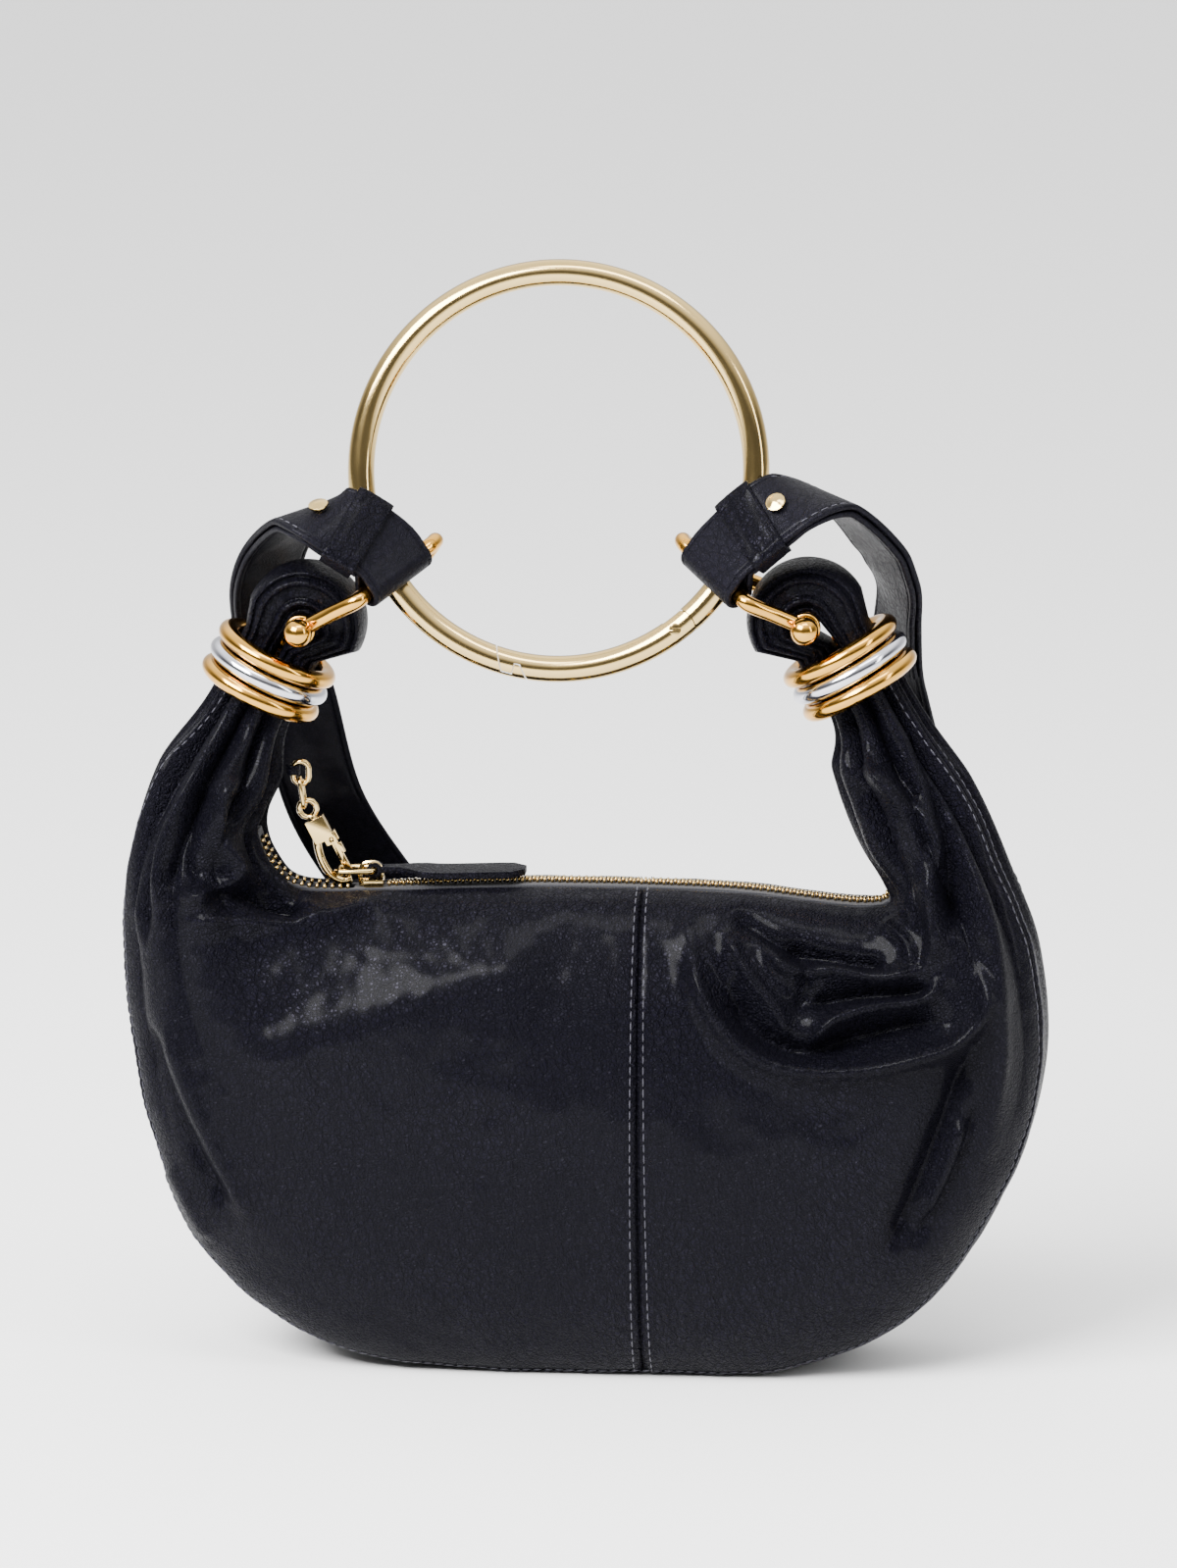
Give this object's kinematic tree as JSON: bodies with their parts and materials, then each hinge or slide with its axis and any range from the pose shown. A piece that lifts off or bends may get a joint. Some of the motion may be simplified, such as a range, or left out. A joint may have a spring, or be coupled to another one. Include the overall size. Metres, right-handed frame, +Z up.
{
  "type": "ring handle handbag",
  "caption": "Soft hobo-style leather handbag with gathered horns in metal collars, a round metal ring handle with a gate, a zip top with a clip-on pull, and a leather shoulder strap.",
  "frame": {"origin": "middle of the flat base, on the surface that the bag stands on", "axes": "+X to the right seen from the front, +Y to the back, +Z up"},
  "size_m": [0.2874, 0.0887, 0.3425],
  "materials": {
    "leather": "glossy crinkled grain",
    "tape": "matt woven",
    "gold": "polished yellow gold plate",
    "pale_gold": "polished pale gold plate",
    "silver": "polished silver plate"
  },
  "bodies": {
    "bag": {"front_left": "leather", "front_right": "leather", "back_left": "leather", "back_right": "leather", "gusset": "leather", "gathered_loop_left": "leather", "gathered_loop_right": "leather", "collar_left_1": "gold", "collar_left_2": "silver", "collar_left_3": "gold", "collar_right_1": "gold", "collar_right_2": "silver", "collar_right_3": "gold", "ring_handle": "pale_gold", "gate_pin": "pale_gold", "shackle_left": "gold", "shackle_right": "gold", "strap": "leather", "strap_keeper_left": "leather", "strap_keeper_right": "leather", "strap_rivet_left": "pale_gold", "strap_rivet_right": "pale_gold", "zip_tape": "tape", "zip_chain": "pale_gold", "zip_slider": "pale_gold", "pull_ring": "pale_gold", "zip_pull": "leather", "hook_body": "pale_gold", "clip_link": "pale_gold", "clip_dee": "pale_gold", "clip_tab": "leather"},
    "gate": {"ring_gate": "pale_gold"},
    "lever": {"hook_lever": "pale_gold"}
  },
  "joints": [
    {"name": "ring_gate_hinge", "type": "hinge", "parent": "bag", "child": "gate", "pos_m": [0.0279, -0.004, 0.23175], "axis": [0, 0.9781, -0.2079], "range_deg": [0, 25], "stiffness_Nm_per_rad": 0.02, "springref_deg": -28.65},
    {"name": "hook_lever_hinge", "type": "hinge", "parent": "bag", "child": "lever", "pos_m": [-0.07917, 0, 0.1635], "axis": [0, 1, 0], "range_deg": [0, 6], "stiffness_Nm_per_rad": 0.001, "springref_deg": -28.65}
  ]
}
